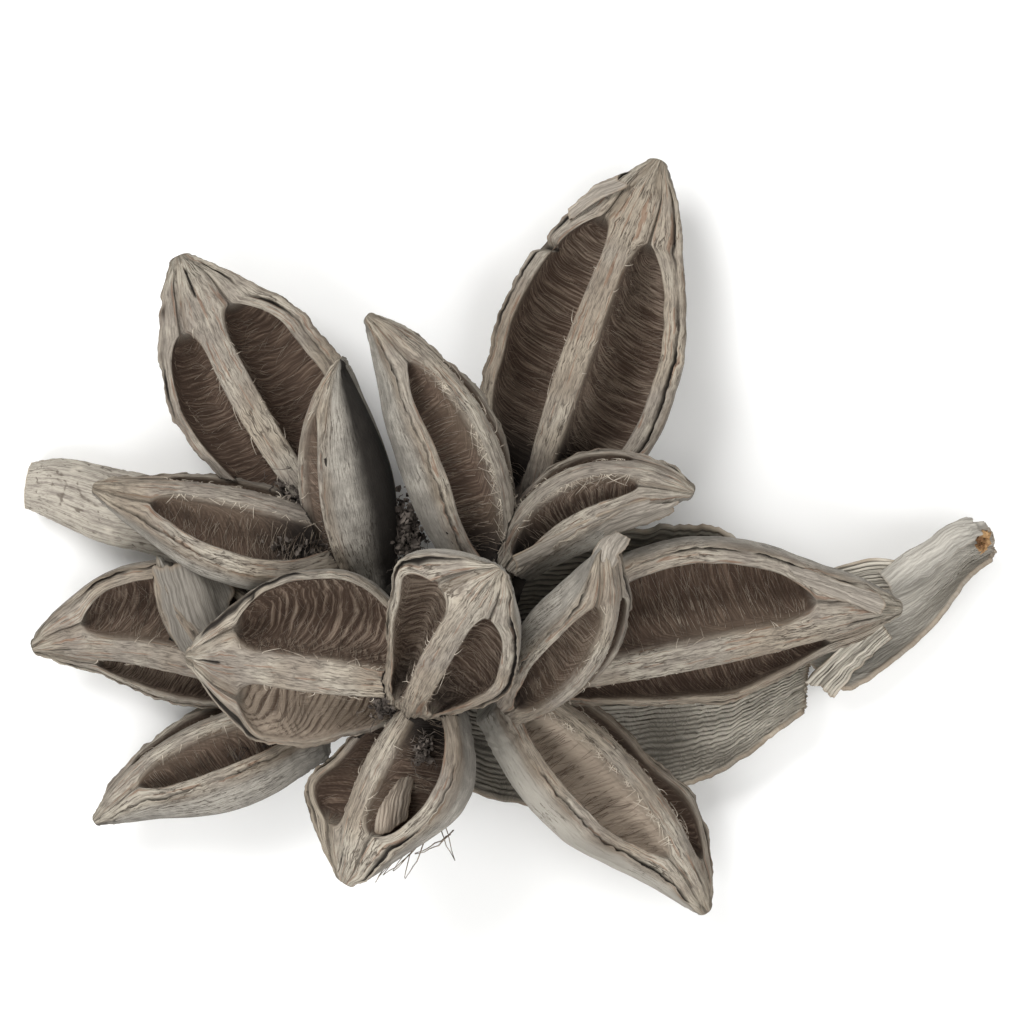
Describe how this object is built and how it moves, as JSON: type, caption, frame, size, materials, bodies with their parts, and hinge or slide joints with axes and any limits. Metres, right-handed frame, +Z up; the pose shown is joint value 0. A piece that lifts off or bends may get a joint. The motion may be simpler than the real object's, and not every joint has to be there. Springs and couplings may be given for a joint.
{
  "type": "dried star pod",
  "caption": "Dried seed head of open, pointed, woody boat-shaped capsule valves with ridged seed chambers, set in a torn ribbed spathe with a cut stalk.",
  "frame": {"origin": "middle of the bottom of the bounding box, on the surface that the seed head lies on", "axes": "+X from the cut stalk to the beak of the spathe, +Y to the tips of the upper valves in the picture, +Z up out of the surface towards the camera"},
  "size_m": [0.2763, 0.2108, 0.1128],
  "materials": {
    "valve": "dry, grey-beige, finely fibrous, with brown chamber linings",
    "core": "dark, crumbly plant fibre",
    "stalk": "dry, cream to grey, wrinkled bark",
    "spathe": "dry, grey, closely ribbed sheet"
  },
  "bodies": {
    "root": {"valve_a1": "valve", "valve_a2": "valve", "valve_a3": "valve", "valve_b1": "valve", "valve_b2": "valve", "valve_b3": "valve", "valve_c1": "valve", "valve_c2": "valve", "valve_c3": "valve", "valve_d1": "valve", "valve_d2": "valve", "valve_d3": "valve", "valve_e1": "valve", "valve_e2": "valve", "valve_e3": "valve", "core_a": "core", "core_b": "core", "core_c": "core", "core_d": "core", "core_e": "core", "peduncle": "stalk", "spathe": "spathe"}
  },
  "joints": []
}
